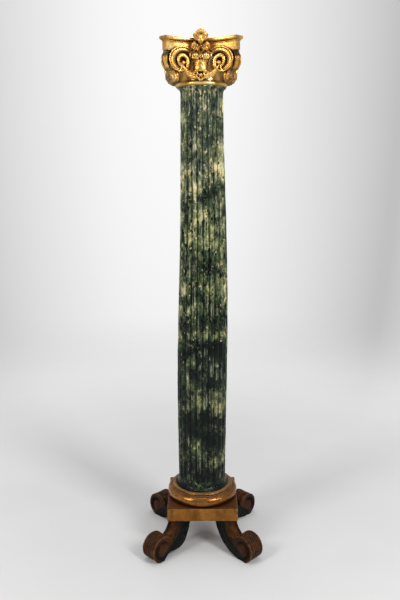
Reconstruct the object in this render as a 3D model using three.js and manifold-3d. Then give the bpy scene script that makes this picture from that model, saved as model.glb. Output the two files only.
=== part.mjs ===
// A floor-standing Ionic column in carved wood: four scroll feet, a square plinth, a gilded base ring,
// a fluted shaft painted as green marble, and a gilded capital with eight volutes.
// Millimetres, +Z up. The floor is z = 0, the column's axis is x = y = 0, and the front faces -Y.
import * as THREE from 'three';
import { mergeVertices } from 'three/addons/utils/BufferGeometryUtils.js';
import Module from 'manifold-3d';

const wasm = await Module();
wasm.setup();

const rad = THREE.MathUtils.degToRad;
const QUARTER = Math.PI / 2;
const SIDES = [0, 1, 2, 3];

// Heights of the joints between the pieces, above the floor
const PLINTH_LOW = 131.5;
const PLINTH_TOP = 182.5;
const SHAFT_FOOT = 234;
const SHAFT_TOP = 1744;
const ABACUS_TOP = 1897;
const GAP = 0.3;

// Scroll feet: each is drawn in the upright plane through the column's axis and a plinth corner
const FOOT_WIDTH = 66;
const FOOT_INNER = 96;
const FOOT_OUTER = 151;
const SCROLL = { centre: 240, height: 46.6, radius: 47.5, crevice: rad(165) };
const FOOT_INNER_CURVES = [[FOOT_INNER + 16, 70, 145, 12, 230, 0]];
const CUT_FOOT_INNER_CURVES = [
  [FOOT_INNER + 12, 74, 126, 27, 156, 23],
  [176, 20, 190, 24, 204, 23],
  [222, 21, 228, 6, 238, 0],
];
const FOOT_OUTER_CURVE = [172, 72, FOOT_OUTER + 2, 100];
const FOOT_GROOVE = {
  radii: [49, 36, 29, 25, 21],
  quarter: rad(98),
  stations: 7,
  halfMouth: 3,
  halfFloor: 1.2,
  depth: 5,
  overcut: 2,
};

// Plinth and base ring
const PLINTH_SIDE = 271;
const PLINTH_CHAMFER = 2;
const TORUS = { radius: 137, tube: 21.5, end: rad(78), segments: 28 };
const FILLET = { radius: 118, height: 7.5, groove: 3, round: 2 };

// Shaft: [height, radius over the arrises], its lean and bow to the right, and the flares at both ends
const ENTASIS = [
  [262, 92.3], [480, 94.4], [700, 96.6], [960, 93.7], [1230, 87.2], [1500, 80.6], [1744, 76.6],
];
const SHAFT_LEVELS = [620, 960, 1340];
const BOW = { reach: 5.8, low: 500, high: 1800, lean: 1.5 };
const FOOT_FLARE = { radius: 104.5, rim: 6, height: 22 };
const TOP_FLARE = { radius: 87, rim: 3, height: 18 };
const FLUTES = {
  count: 24,
  share: 0.6,
  floorShare: 0.3,
  depthShare: 0.4,
  endShare: 0.25,
  low: 264,
  high: 1732,
  tip: 7,
};

// Capital: turned core, from the astragal up to the echinus
const ASTRAGAL = { radius: 92.5, tube: 7 };
const BELL = { radius: 80, low: 1761, high: 1800, topRadius: 88 };
const CORE_TOP = 1856;
const CORE_SEGMENTS = 24;

// Capital: abacus with hollow sides and cut corners; corner, edge and middle place one side's outline
const ABACUS_LEVELS = [
  { z: 1852, corner: 131, edge: 119, middle: 80 },
  { z: 1881, corner: 131, edge: 119, middle: 80 },
  { z: 1886, corner: 137, edge: 117, middle: 87 },
  { z: 1889, corner: 141, edge: 117, middle: 91 },
  { z: ABACUS_TOP, corner: 141.5, edge: 117, middle: 92 },
];
const ABACUS_SIDE_STEPS = 6;

// Capital: volutes. On each side s runs along the face, n stands out from the axis and z goes up.
const FACE = { middle: 92, rise: 0.00388 };
const VOLUTE = {
  s: 61,
  z: 1816,
  start: rad(119),
  radii: [53, 49, 36, 26, 22.5, 17, 12.5, 10],
  turn: rad(600),
  ridge: 7,
  relief: 7,
  slope: 2,
  eyeRise: 1,
};
const TURN_STEPS = 12;

// Capital: the leaf over the rim of each corner, as [reach from the axis, height], with a long tip in front
const CORNER_LEAF = {
  back: [[128, 1812], [170, 1846], [177, 1830], [171, 1800], [160, 1781]],
  longTip: [[150, 1762], [140, 1750], [127, 1747], [122, 1758], [124, 1776]],
  shortTip: [[150, 1776], [136, 1774], [124, 1780]],
  middle: [140, 1798],
  halfWidth: 16,
  ridgeSize: 1.02,
  edgeSize: 0.86,
};

// Capital: the basket of eggs between the volutes, as [height, half width, depth]
const BASKET = {
  n: 68,
  levels: [[1786, 12, 24], [1792, 24, 36], [1803, 26, 38], [1807, 28, 40], [1818, 28, 40], [1854, 44, 48]],
  steps: 6,
  fullness: 0.8,
};
const EGGS = { places: [17, 40], n: [108, 98], z: 1834, size: [6.5, 6.5, 10] };

// Capital: the flower over each side, with a wider lobe at its top, and the leaves below it
const FLEURON = { z: 1895, n: 92, depth: 17, reach: 21, lobe: 5, lobes: 6, top: 3, topFrom: 0.8, steps: 18 };
const CALYX = {
  z: 1872,
  n: 100,
  swell: 12,
  drop: 10,
  angles: [rad(-25), rad(-58)],
  lengths: [42, 28],
  halfWidth: 8,
  thickness: 5,
};

// Capital: the leaf spray under the basket, as [along the side, out from the axis, height, half width]
const GARLAND = [[0, 86, 1766, 6], [20, 91, 1772, 9], [42, 100, 1785, 9], [57, 106, 1804, 3]];
const GARLAND_THICKNESS = 6;

// Turns an open list of numbers into a smooth function of the place along it, from 0 to its last index
function smoothList(values) {
  const curve = new THREE.CatmullRomCurve3(values.map((v, i) => new THREE.Vector3(i, v, 0)));
  return (place) => curve.getPoint(place / (values.length - 1)).y;
}

// Evenly spaced numbers from a to b, both included
function steps(a, b, count) {
  return Array.from({ length: count + 1 }, (_, i) => a + ((b - a) * i) / count);
}

// Makes a closed geometry's faces point out, also after it has been mirrored
function faceOut(geometry) {
  const p = geometry.attributes.position;
  const index = Array.from(geometry.index.array);
  const [a, b, c] = [new THREE.Vector3(), new THREE.Vector3(), new THREE.Vector3()];
  let volume = 0;
  for (let i = 0; i < index.length; i += 3) {
    a.fromBufferAttribute(p, index[i]);
    b.fromBufferAttribute(p, index[i + 1]);
    c.fromBufferAttribute(p, index[i + 2]);
    volume += a.dot(b.cross(c));
  }
  if (volume < 0) {
    for (let i = 0; i < index.length; i += 3) [index[i], index[i + 1]] = [index[i + 1], index[i]];
    geometry.setIndex(index);
  }
  return geometry;
}

// Closed body through rings of points. flat is the first ring's outline in the plane, which fills the ends.
function loft(rings, flat) {
  const count = rings[0].length;
  const index = [];
  const turned = THREE.ShapeUtils.isClockWise(flat);
  for (let i = 0; i < rings.length - 1; i++) {
    for (let j = 0; j < count; j++) {
      const a = i * count + j;
      const b = i * count + ((j + 1) % count);
      const quad = [a, b, b + count, a, b + count, a + count];
      index.push(...(turned ? quad.reverse() : quad));
    }
  }
  const last = (rings.length - 1) * count;
  for (const [a, b, c] of THREE.ShapeUtils.triangulateShape(flat, [])) {
    index.push(a, c, b, last + a, last + b, last + c);
  }
  const geometry = new THREE.BufferGeometry().setFromPoints(rings.flat());
  geometry.setIndex(index);
  return faceOut(geometry);
}

// Turned body: the outline is a list of [radius, height] that starts and ends on the axis
function turned(outline, segments) {
  const geometry = new THREE.LatheGeometry(outline.map(([r, z]) => new THREE.Vector2(r, z)), segments);
  return geometry.rotateX(QUARTER);
}

// Points [radius, height] on a round bead from one angle to another, seen in the outline
function beadOutline(radius, z, tube, from, to, count) {
  return steps(from, to, count).map((a) => [radius + tube * Math.cos(a), z + tube * Math.sin(a)]);
}

// A closed geometry as a solid that can be joined and cut
function solid(geometry) {
  const bare = new THREE.BufferGeometry();
  bare.setAttribute('position', geometry.attributes.position);
  bare.setIndex(geometry.index ?? [...Array(geometry.attributes.position.count).keys()]);
  const merged = faceOut(mergeVertices(bare, 1e-3));
  const triangles = [];
  for (let i = 0; i < merged.index.count; i += 3) {
    const [a, b, c] = [0, 1, 2].map((k) => merged.index.getX(i + k));
    if (a !== b && b !== c && c !== a) triangles.push(a, b, c);
  }
  return new wasm.Manifold(new wasm.Mesh({
    numProp: 3,
    vertProperties: Float32Array.from(merged.attributes.position.array),
    triVerts: Uint32Array.from(triangles),
  }));
}

function join(geometries) {
  return geometries.map(solid).reduce((whole, piece) => whole.add(piece));
}

// The solid as a geometry again
function skin(body) {
  const mesh = body.getMesh();
  const geometry = new THREE.BufferGeometry();
  geometry.setAttribute('position', new THREE.BufferAttribute(mesh.vertProperties, 3));
  geometry.setIndex(new THREE.BufferAttribute(mesh.triVerts, 1));
  return geometry;
}

const mirrored = (geometry) => faceOut(geometry.clone().scale(-1, 1, 1));
const onAllSides = (geometry) => SIDES.map((k) => geometry.clone().rotateZ(k * QUARTER));

// Foot: an S-shaped bracket that runs under its scroll, with a spiral groove cut in both sides. The front left
// one is cut away higher behind its scroll than the others
function footOutline(innerCurves) {
  const { centre, height, radius, crevice } = SCROLL;
  const shape = new THREE.Shape();
  shape.moveTo(FOOT_INNER, PLINTH_LOW - GAP);
  for (const curve of innerCurves) shape.bezierCurveTo(...curve);
  shape.absarc(centre, height, radius, -Math.asin(height / radius), crevice, false);
  shape.bezierCurveTo(...FOOT_OUTER_CURVE, FOOT_OUTER, PLINTH_LOW - GAP);
  return shape;
}

function footGroove() {
  const { radii, quarter, stations, halfMouth, halfFloor, depth, overcut } = FOOT_GROOVE;
  const radiusAt = smoothList(radii);
  const mouth = FOOT_WIDTH / 2 + overcut;
  const floor = FOOT_WIDTH / 2 - depth;
  const section = [[-halfMouth, mouth], [halfMouth, mouth], [halfFloor, floor], [-halfFloor, floor]];
  const rings = steps(0, radii.length - 1, stations).map((place) => {
    const angle = SCROLL.crevice + place * quarter;
    return section.map(([out, y]) => {
      const r = radiusAt(place) + out;
      return new THREE.Vector3(SCROLL.centre + r * Math.cos(angle), y, SCROLL.height + r * Math.sin(angle));
    });
  });
  return loft(rings, section.map(([out, y]) => new THREE.Vector2(out, y)));
}

function foot(innerCurves) {
  const bracket = new THREE.ExtrudeGeometry(footOutline(innerCurves), {
    depth: FOOT_WIDTH,
    bevelEnabled: false,
    curveSegments: 7,
  });
  bracket.rotateX(QUARTER).translate(0, FOOT_WIDTH / 2, 0);
  const groove = footGroove();
  const opposite = faceOut(groove.clone().scale(1, -1, 1));
  return skin(solid(bracket).subtract(solid(groove)).subtract(solid(opposite)));
}

// Plinth: a square board with its edges taken off
function plinth() {
  const half = PLINTH_SIDE / 2;
  const corners = [[-1, -1], [1, -1], [1, 1], [-1, 1]];
  const square = (reach) => corners.map(([x, y]) => new THREE.Vector2(x * reach, y * reach));
  const levels = [
    [PLINTH_LOW, half - PLINTH_CHAMFER], [PLINTH_LOW + PLINTH_CHAMFER, half],
    [PLINTH_TOP - PLINTH_CHAMFER, half], [PLINTH_TOP, half - PLINTH_CHAMFER],
  ];
  const rings = levels.map(([z, reach]) => square(reach).map((p) => new THREE.Vector3(p.x, p.y, z)));
  return loft(rings, square(half));
}

// Base ring: a bold torus under a narrow fillet
function baseRing() {
  const { radius, tube, end, segments } = TORUS;
  const low = PLINTH_TOP + GAP;
  const filletFoot = SHAFT_FOOT - FILLET.height;
  return turned([
    [0, low],
    ...beadOutline(radius - tube, low + tube, tube, -QUARTER, end, 6),
    [FILLET.radius - FILLET.groove, filletFoot - 1],
    [FILLET.radius, filletFoot + 1],
    [FILLET.radius, SHAFT_FOOT - FILLET.round],
    [FILLET.radius - FILLET.round, SHAFT_FOOT],
    [0, SHAFT_FOOT],
  ], segments);
}

// The place on a spline whose x is the given one, by halving
function splinePlace(curve, x) {
  const halvings = 30;
  let [low, high] = [0, 1];
  for (let i = 0; i < halvings; i++) {
    const middle = (low + high) / 2;
    if (curve.getPoint(middle).x < x) low = middle;
    else high = middle;
  }
  return low;
}

const entasis = new THREE.SplineCurve(ENTASIS.map(([z, r]) => new THREE.Vector2(z, r)));

// What a flare adds to the shaft's radius at a distance from the shaft's end
function flare(gap, { radius, rim, height }, plain) {
  const left = THREE.MathUtils.clamp(1 - (gap - rim) / height, 0, 1);
  return (radius - plain) * (1 - Math.sqrt(1 - left * left));
}

// Shaft: the radius over the arrises at a height
function shaftRadius(z) {
  const [low, lowRadius] = ENTASIS[0];
  const topRadius = ENTASIS[ENTASIS.length - 1][1];
  const body = z <= low ? lowRadius : entasis.getPoint(splinePlace(entasis, z)).y;
  return body + flare(z - SHAFT_FOOT, FOOT_FLARE, lowRadius) + flare(SHAFT_TOP - z, TOP_FLARE, topRadius);
}

// How far the shaft's middle stands to the right of the axis at a height
function bow(z) {
  const place = THREE.MathUtils.clamp((z - BOW.low) / (BOW.high - BOW.low), 0, 1);
  const lean = BOW.lean * ((z - SHAFT_FOOT) / (SHAFT_TOP - SHAFT_FOOT) - 0.5) * 2;
  return lean + BOW.reach * Math.sin(Math.PI * place) ** 2;
}

// How open the flutes are at a height: 0 outside them, 1 along them, with rounded ends
function fluteSize(z) {
  const inside = THREE.MathUtils.clamp(Math.min(z - FLUTES.low, FLUTES.high - z) / FLUTES.tip, 0, 1);
  return Math.sqrt(1 - (1 - inside) ** 2);
}

// One level of the fluted shaft: two edges and a floor for each flute
function shaftRing(z) {
  const pitch = (2 * Math.PI) / FLUTES.count;
  const size = fluteSize(z);
  const radius = shaftRadius(z);
  const depth = pitch * radius * FLUTES.share * FLUTES.depthShare * size;
  const open = FLUTES.endShare + (1 - FLUTES.endShare) * size;
  const points = [];
  for (let k = 0; k < FLUTES.count; k++) {
    for (const [across, sunk] of [[-1, 0], [-FLUTES.floorShare, depth], [FLUTES.floorShare, depth], [1, 0]]) {
      const angle = (k + (across * FLUTES.share * open) / 2) * pitch;
      const r = radius - sunk;
      points.push(new THREE.Vector3(bow(z) + r * Math.cos(angle), r * Math.sin(angle), z));
    }
  }
  return points;
}

function shaft() {
  const { low, high, tip } = FLUTES;
  const rimTop = SHAFT_FOOT + FOOT_FLARE.rim;
  const flareMiddle = rimTop + FOOT_FLARE.height / 4;
  const roundTip = tip * 0.3;
  const heights = [
    SHAFT_FOOT + GAP, rimTop, flareMiddle, low, low + roundTip, low + tip,
    ...SHAFT_LEVELS,
    high - tip, high - roundTip, high, SHAFT_TOP - TOP_FLARE.rim, SHAFT_TOP - GAP,
  ];
  return loft(heights.map(shaftRing), shaftRing(SHAFT_FOOT).map((p) => new THREE.Vector2(p.x, p.y)));
}

// Capital: the turned core
function core() {
  const { radius, tube } = ASTRAGAL;
  return turned([
    [0, SHAFT_TOP],
    ...beadOutline(radius - tube, SHAFT_TOP + tube, tube, -QUARTER, QUARTER, 3),
    [BELL.radius, BELL.low],
    [BELL.topRadius, BELL.high],
    [BELL.topRadius, CORE_TOP],
    [0, CORE_TOP],
  ], CORE_SEGMENTS);
}

// Capital: the abacus, with four hollow sides and four cut corners
function abacusRing({ z, corner, edge, middle }) {
  const up = new THREE.Vector3(0, 0, 1);
  const side = steps(-1, 1, ABACUS_SIDE_STEPS).map((t) => (
    new THREE.Vector3(t * edge, -middle - (corner - middle) * t * t, z)
  ));
  return SIDES.flatMap((k) => side.map((p) => p.clone().applyAxisAngle(up, k * QUARTER)));
}

function abacus() {
  const rings = ABACUS_LEVELS.map(abacusRing);
  return loft(rings, rings[0].map((p) => new THREE.Vector2(p.x, p.y)));
}

// A point of the front side: s along it, above is the height over the volutes' face, z up
function onFace(s, above, z) {
  return new THREE.Vector3(s, -(FACE.middle + FACE.rise * s * s + above), z);
}

const voluteRadius = smoothList(VOLUTE.radii);

// A point of the volute's spiral after it has turned by an angle, inset from its outer edge
function spiralPoint(turn, inset, above) {
  const r = voluteRadius(turn / QUARTER) - inset;
  const angle = VOLUTE.start - turn;
  return onFace(VOLUTE.s + r * Math.cos(angle), above, VOLUTE.z + r * Math.sin(angle));
}

// The front of one volute as shared points and triangles: a ridge that winds in to a pointed eye over a
// sunk channel. One turn takes TURN_STEPS stations. The loop is the front's outer border.
function voluteFront() {
  const { ridge, relief, slope, turn, eyeRise } = VOLUTE;
  const points = [];
  const faces = [];
  const add = (p) => points.push(p) - 1;
  const quad = (a, b, c, d) => faces.push(a, b, c, a, c, d);
  const turns = steps(0, turn, Math.round((turn / 2 / Math.PI) * TURN_STEPS));
  const last = turns.length - 1;
  const outer = turns.map((t) => add(spiralPoint(t, 0, 0)));
  const inner = turns.map((t) => add(spiralPoint(t, ridge, 0)));
  const foot = turns.map((t) => add(spiralPoint(t, ridge + slope, -relief)));
  const edge = turns.map((t, j) => (j < TURN_STEPS ? null : add(spiralPoint(t, -slope / 2, -relief))));
  const eye = add(onFace(VOLUTE.s, eyeRise, VOLUTE.z));
  for (let j = 0; j < last; j++) {
    quad(outer[j], outer[j + 1], inner[j + 1], inner[j]);
    quad(inner[j], inner[j + 1], foot[j + 1], foot[j]);
    const next = j + TURN_STEPS;
    if (next < last) {
      quad(foot[j], foot[j + 1], edge[next + 1], edge[next]);
      quad(edge[next], edge[next + 1], outer[next + 1], outer[next]);
    } else {
      faces.push(foot[j], foot[j + 1], eye);
    }
  }
  quad(foot[last], inner[last], outer[last], edge[last]);
  faces.push(foot[last], edge[last], eye, edge[last], foot[last - TURN_STEPS], eye);
  const loop = [...outer.slice(0, TURN_STEPS + 1), edge[TURN_STEPS], foot[0], inner[0]];
  return { points, faces, loop };
}

// Two volutes that meet at a corner, with the block between them
function cornerScroll() {
  const { points, faces, loop } = voluteFront();
  const count = points.length;
  const index = [...faces];
  for (let i = 0; i < faces.length; i += 3) {
    index.push(faces[i] + count, faces[i + 2] + count, faces[i + 1] + count);
  }
  loop.forEach((a, i) => {
    const b = loop[(i + 1) % loop.length];
    index.push(b, a, a + count, b, a + count, b + count);
  });
  const geometry = new THREE.BufferGeometry();
  geometry.setFromPoints([...points, ...points.map((p) => new THREE.Vector3(-p.y, -p.x, p.z))]);
  geometry.setIndex(index);
  return faceOut(geometry);
}

// The leaf over a corner's rim, which hangs below the scroll. It is thickest along its middle.
function cornerLeaf(tip) {
  const { back, halfWidth, ridgeSize, edgeSize } = CORNER_LEAF;
  const outline = [...back, ...tip];
  const middle = new THREE.Vector2(...CORNER_LEAF.middle);
  const ring = (y, size) => outline.map(([r, z]) => {
    const p = new THREE.Vector2(r, z).sub(middle).multiplyScalar(size).add(middle);
    return new THREE.Vector3(p.x, y, p.y);
  });
  const rings = [ring(-halfWidth, edgeSize), ring(0, ridgeSize), ring(halfWidth, edgeSize)];
  return loft(rings, outline.map(([r, z]) => new THREE.Vector2(r, z)));
}

// Basket: half round levels in front of the bell
function basket() {
  const { n, levels, fullness } = BASKET;
  const angles = steps(0, Math.PI, BASKET.steps);
  const ring = ([z, half, depth]) => angles.map((a) => (
    new THREE.Vector3(half * Math.cos(a), -n - depth * Math.sin(a) ** fullness, z)
  ));
  const flat = angles.map((a) => new THREE.Vector2(Math.cos(a), Math.sin(a)));
  return loft(levels.map(ring), flat);
}

function egg(i) {
  const body = new THREE.SphereGeometry(1, 6, 3).rotateX(QUARTER).scale(...EGGS.size);
  return body.translate(EGGS.places[i], -EGGS.n[i], EGGS.z);
}

// Fleuron: a lobed flower that swells out from the abacus
function fleuron() {
  const { z, n, depth, reach, lobe, lobes, top, topFrom } = FLEURON;
  const outline = steps(0, 2 * Math.PI, FLEURON.steps).slice(0, -1).map((a) => {
    const swing = 2 * Math.abs(Math.cos((lobes * (a - QUARTER)) / 2)) - 1;
    const above = Math.max(0, Math.sin(a) - topFrom) / (1 - topFrom);
    const r = reach + lobe * swing + top * above;
    return new THREE.Vector2(r * Math.cos(a), r * Math.sin(a));
  });
  const levels = [[0, 0.95], [0.6, 1], [1, 0.45]];
  const ring = ([out, size]) => outline.map((p) => (
    new THREE.Vector3(p.x * size, -n - out * depth, z + p.y * size)
  ));
  return loft(levels.map(ring), outline);
}

// A leaf blade along [s, n, z, half width] stations, with a ridge along its middle
function blade(stations, thickness) {
  const rings = stations.map(([s, n, z, half], i) => {
    const before = stations[Math.max(i - 1, 0)];
    const after = stations[Math.min(i + 1, stations.length - 1)];
    const run = new THREE.Vector2(after[0] - before[0], after[2] - before[2]).normalize();
    const side = new THREE.Vector2(-run.y, run.x).multiplyScalar(half);
    return [
      new THREE.Vector3(s + side.x, -n, z + side.y),
      new THREE.Vector3(s, -n - thickness, z),
      new THREE.Vector3(s - side.x, -n, z - side.y),
      new THREE.Vector3(s, -n + thickness, z),
    ];
  });
  const flat = [[1, 0], [0, 1], [-1, 0], [0, -1]].map(([x, y]) => new THREE.Vector2(x, y));
  return loft(rings, flat);
}

// The leaves under the fleuron: each one goes out, then droops
function calyxLeaf(i) {
  const { z, n, swell, drop, angles, lengths, halfWidth, thickness } = CALYX;
  const stations = [[0, 0.4], [0.6, 1], [1, 0.2]].map(([u, size]) => {
    const reach = lengths[i] * u;
    const out = n + swell * Math.sin(Math.PI * u);
    const height = z + reach * Math.sin(angles[i]) - drop * u * u;
    return [reach * Math.cos(angles[i]), out, height, halfWidth * size];
  });
  return blade(stations, thickness);
}

function capital() {
  const half = [egg(0), egg(1), calyxLeaf(0), calyxLeaf(1), blade(GARLAND, GARLAND_THICKNESS)];
  const side = [...half, ...half.map(mirrored), fleuron(), basket()];
  const corners = SIDES.map((k) => {
    const leaf = cornerLeaf(k < 2 ? CORNER_LEAF.longTip : CORNER_LEAF.shortTip);
    return leaf.rotateZ((k - 1.5) * QUARTER);
  });
  return skin(join([core(), abacus(), ...[...side, cornerScroll()].flatMap(onAllSides), ...corners]));
}

// The finished column
const column = new THREE.Group();

const darkBronze = { color: 0x5a3a22, roughness: 0.5, metalness: 0.2 };
const paleBronze = { color: 0x9a6a3a, roughness: 0.5, metalness: 0.3 };
const gilding = { color: 0xc9962f, roughness: 0.35, metalness: 0.85 };
const greenMarble = { color: 0x47563f, roughness: 0.35, metalness: 0 };

function place(name, geometry, finish) {
  const mesh = new THREE.Mesh(geometry, new THREE.MeshStandardMaterial(finish));
  mesh.name = name;
  column.add(mesh);
  return mesh;
}

const FOOT_NAMES = ['foot_right_back', 'foot_left_back', 'foot_left_front', 'foot_right_front'];
const CUT_FOOT = 'foot_left_front';
FOOT_NAMES.forEach((name, k) => {
  const curves = name === CUT_FOOT ? CUT_FOOT_INNER_CURVES : FOOT_INNER_CURVES;
  place(name, foot(curves), darkBronze).rotation.z = QUARTER / 2 + k * QUARTER;
});
place('plinth', plinth(), paleBronze);
place('base_ring', baseRing(), gilding);
place('shaft', shaft(), greenMarble);
place('capital', capital(), gilding);

export default column;
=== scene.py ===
import math

import bmesh
import bpy
import numpy as np
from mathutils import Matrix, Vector, noise


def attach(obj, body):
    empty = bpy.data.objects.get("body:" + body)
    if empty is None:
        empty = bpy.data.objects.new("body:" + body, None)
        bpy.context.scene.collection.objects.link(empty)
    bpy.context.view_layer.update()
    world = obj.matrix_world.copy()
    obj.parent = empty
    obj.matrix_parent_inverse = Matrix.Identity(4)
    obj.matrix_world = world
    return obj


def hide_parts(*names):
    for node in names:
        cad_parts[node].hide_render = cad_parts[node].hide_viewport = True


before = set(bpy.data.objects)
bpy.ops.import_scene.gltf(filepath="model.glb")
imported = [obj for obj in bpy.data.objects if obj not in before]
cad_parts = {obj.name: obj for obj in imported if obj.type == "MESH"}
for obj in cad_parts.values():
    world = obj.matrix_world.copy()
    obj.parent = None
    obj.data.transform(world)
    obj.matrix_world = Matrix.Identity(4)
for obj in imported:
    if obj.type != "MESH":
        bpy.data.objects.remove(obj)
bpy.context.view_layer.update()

# The shapes are worked out in millimetres, +Z up, with the front towards -Y, and scaled when a mesh is made
MM = 0.001
QUARTER = math.pi / 2
FRONT = np.array([0.0, -1.0, 0.0])
UP = np.array([0.0, 0.0, 1.0])
CORNER_OUT = np.array([1.0, -1.0, 0.0]) / math.sqrt(2)
CORNER_SIDE = np.array([1.0, 1.0, 0.0]) / math.sqrt(2)

# Heights of the joints between the pieces, above the floor
PLINTH_LOW = 131.5
PLINTH_TOP = 182.5
RING_LOW = 182.8
SHAFT_FOOT = 234
SHAFT_TOP = 1744
GAP = 0.3


# Curves and closed shapes

def along(points, places):
    """Points at some places on a smooth curve through the given ones, which lie at 0, 1, 2 and so on."""
    p = np.asarray(points, float)
    p = p[:, None] if p.ndim == 1 else p
    p = np.vstack([2 * p[0] - p[1], p, 2 * p[-1] - p[-2]])
    t = np.clip(np.asarray(places, float), 0, len(p) - 3)
    i = np.minimum(t.astype(int), len(p) - 4)
    u = (t - i)[:, None]
    a, b, c, d = (p[i + k] for k in range(4))
    return 0.5 * (2 * b + (c - a) * u + (2 * a - 5 * b + 4 * c - d) * u**2 + (3 * b - a - 3 * c + d) * u**3)


def smooth(points, count):
    """Evenly spaced places on a smooth curve through the given points."""
    return along(points, np.linspace(0, len(points) - 1, count))


def unit(v):
    return v / np.maximum(np.linalg.norm(v, axis=-1, keepdims=True), 1e-9)


def between(pairs, x):
    """The value at some places between the pairs of a table."""
    return np.interp(x, *np.array(pairs, float).T)


def smoothstep(low, high, x):
    t = np.clip((x - low) / (high - low), 0, 1)
    return t * t * (3 - 2 * t)


def loft(rings, caps=True):
    """The points and faces of a body through rings, given as an array of stations, corners and x y z."""
    n, m = rings.shape[:2]
    i, j = np.meshgrid(np.arange(n - 1), np.arange(m), indexing="ij")
    a, b = i * m + j, i * m + (j + 1) % m
    faces = np.stack([a, b, b + m, a + m], -1).reshape(-1, 4).tolist()
    if caps:
        faces += [list(range(m))[::-1], list(range((n - 1) * m, n * m))]
    return rings.reshape(-1, 3), faces


def fan_loft(rings, first, last):
    """A loft whose two ends are closed by fans round a point each, for ends that aren't flat."""
    points, faces = loft(rings, caps=False)
    n, m = rings.shape[:2]
    ends = [(n * m, 0), (n * m + 1, (n - 1) * m)]
    for centre, start in ends:
        faces += [[centre, start + j, start + (j + 1) % m] for j in range(m)]
    return np.vstack([points, first, last]), faces


def frames(path, out):
    """Unit vectors across a path, and away from what carries it."""
    ahead = unit(np.gradient(path, axis=0))
    across = unit(np.cross(ahead, np.broadcast_to(out, path.shape)))
    return across, np.cross(across, ahead)


def tube(path, radii, out, sides=12, deep=1.0):
    """A round bar through given places. deep stretches it away from what carries it."""
    across, away = frames(path, out)
    turn = np.linspace(0, 2 * math.pi, sides, endpoint=False)
    ring = across[:, None] * np.cos(turn)[:, None] + away[:, None] * np.sin(turn)[:, None] * deep
    return loft(path[:, None] + ring * np.reshape(radii, (-1, 1, 1)))


def bar(points, radii, count=40, out=FRONT):
    """A round bar on a smooth path."""
    return tube(smooth(points, count), smooth(radii, count), out)


def around(radius, turn, z):
    """Places at some radii, angles and heights round the upright axis."""
    return np.stack(np.broadcast_arrays(radius * np.cos(turn), radius * np.sin(turn), z), -1)


def ball(centre, size, steps=14):
    """An egg shape with half axes along x, y and z."""
    rise = np.linspace(-QUARTER, QUARTER, steps)[1:-1, None]
    turn = np.linspace(0, 2 * math.pi, 2 * steps, endpoint=False)
    return loft(around(np.cos(rise), turn, np.sin(rise)) * size + np.asarray(centre, float))


# A leaf's section: how wide its rib is in half widths, and its back's thickness in that of its front
RIB_WIDTH = 0.16
LEAF_BACK = 0.6


def leaf(points, widths, thickness, out=FRONT, lobes=0, cut=0.3, count=60, rib=0.3, veins=0.25, blunt=0.12):
    """A carved leaf on a smooth path, with scalloped edges, a rib, and veins that run to its lobes."""
    path = smooth(points, count)
    across, away = frames(path, out)
    u = np.linspace(0, 1, count)[:, None]
    tip = np.sqrt(1 - np.clip((u - 1 + blunt) / blunt, 0, 0.98) ** 2)
    half = smooth(widths, count) * tip
    if lobes:
        half = half * (1 - cut * np.cos(math.pi * lobes * u) ** 2)
    v = np.sin(np.linspace(-QUARTER, QUARTER, 17))[None, :]
    body = np.sqrt(np.clip(1 - v**2, 0, 1))
    vein = np.cos(2 * math.pi * (max(lobes, 1) * u - 0.5 * np.abs(v)))
    top = body * (1 - veins * 0.5 * (1 + vein)) + rib * np.exp(-((v / RIB_WIDTH) ** 2))
    low = np.broadcast_to(-LEAF_BACK * body, top.shape)[:, 1:-1][:, ::-1]
    height = np.concatenate([top, low], 1) * thickness * tip
    place = np.broadcast_to(np.concatenate([v, v[:, 1:-1][:, ::-1]], 1), height.shape)
    rings = path[:, None] + across[:, None] * (place * half)[..., None] + away[:, None] * height[..., None]
    return loft(rings)


def both_hands(points):
    """A path of places along the face, outwards and up, as x y z on the left and on the right."""
    return [[(hand * s, -out, z) for s, out, z in points] for hand in (-1, 1)]


def turned(outline, segments):
    """A turned body. The outline is a list of radius and height, and its ends are closed flat."""
    outline = np.asarray(outline, float)
    turn = np.linspace(0, 2 * math.pi, segments, endpoint=False)
    return loft(around(outline[:, :1], turn, outline[:, 1:]))


def arc(centre, radius, start, end, count):
    """Points of a round stretch of an outline, from one angle in degrees to another."""
    a = np.radians(np.linspace(start, end, count))
    return [[centre[0] + radius * math.cos(t), centre[1] + radius * math.sin(t)] for t in a]


def rotated(points, quarters):
    """Points turned about the column's axis by a number of quarter turns."""
    c, s = round(math.cos(quarters * QUARTER), 9), round(math.sin(quarters * QUARTER), 9)
    return points @ np.array([[c, s, 0], [-s, c, 0], [0, 0, 1]])


def closed(bm, name):
    """The drawn faces as a mesh, all pointing out."""
    bmesh.ops.recalc_face_normals(bm, faces=bm.faces)
    mesh = bpy.data.meshes.new(name)
    bm.to_mesh(mesh)
    bm.free()
    return mesh


def mesh_of(name, shapes):
    """One mesh of several closed shapes."""
    bm = bmesh.new()
    for points, faces in shapes:
        made = [bm.verts.new(p) for p in points]
        for face in faces:
            bm.faces.new([made[i] for i in face])
    return closed(bm, name)


def points_of(mesh):
    co = np.empty(len(mesh.vertices) * 3)
    mesh.vertices.foreach_get("co", co)
    return co.reshape(-1, 3)


def normals_of(mesh):
    n = np.empty(len(mesh.vertices) * 3)
    mesh.vertices.foreach_get("normal", n)
    return n.reshape(-1, 3)


def set_points(mesh, points):
    mesh.vertices.foreach_set("co", np.ascontiguousarray(points, float).ravel())
    mesh.update()


def linked(name, data):
    obj = bpy.data.objects.new(name, data)
    bpy.context.scene.collection.objects.link(obj)
    return obj


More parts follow.
